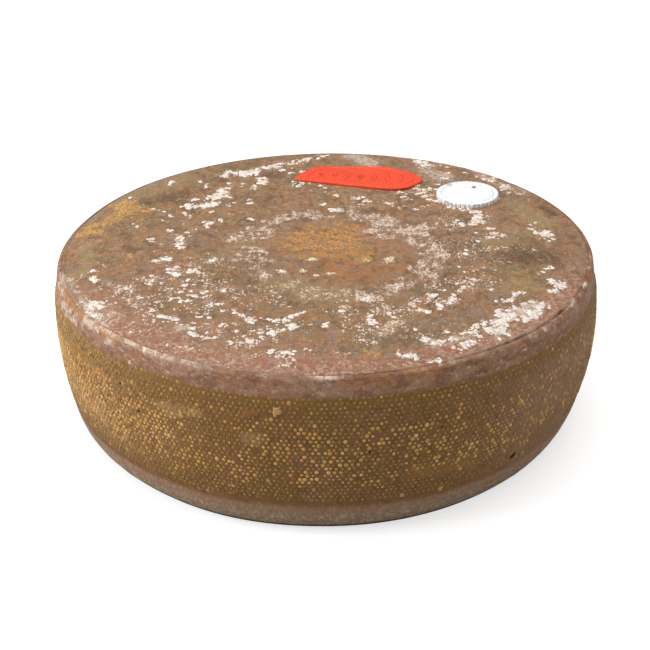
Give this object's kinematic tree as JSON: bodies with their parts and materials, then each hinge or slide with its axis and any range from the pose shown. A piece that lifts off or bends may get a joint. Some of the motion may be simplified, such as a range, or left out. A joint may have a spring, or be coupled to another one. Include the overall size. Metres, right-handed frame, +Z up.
{
  "type": "cheese wheel",
  "caption": "Whole round pressed cheese wheel with a bulging net-marked side, a crease under its top edge, and a red plaque and a ribbed white disc pressed into its top face.",
  "frame": {"origin": "middle of the flat base that the wheel rests on", "axes": "+Z up through the wheel, -Y towards the side seen in front, +X to its right; the red plaque lies towards +Y and the white disc towards +X and +Y"},
  "size_m": [0.3004, 0.2992, 0.094],
  "materials": {
    "rind": "matt to satin, rough washed rind with dry bloom",
    "red_casein": "satin",
    "white_casein": "satin"
  },
  "bodies": {
    "root": {"cheese_wheel": "rind", "red_plaque": "red_casein", "white_disc": "white_casein"}
  },
  "joints": []
}
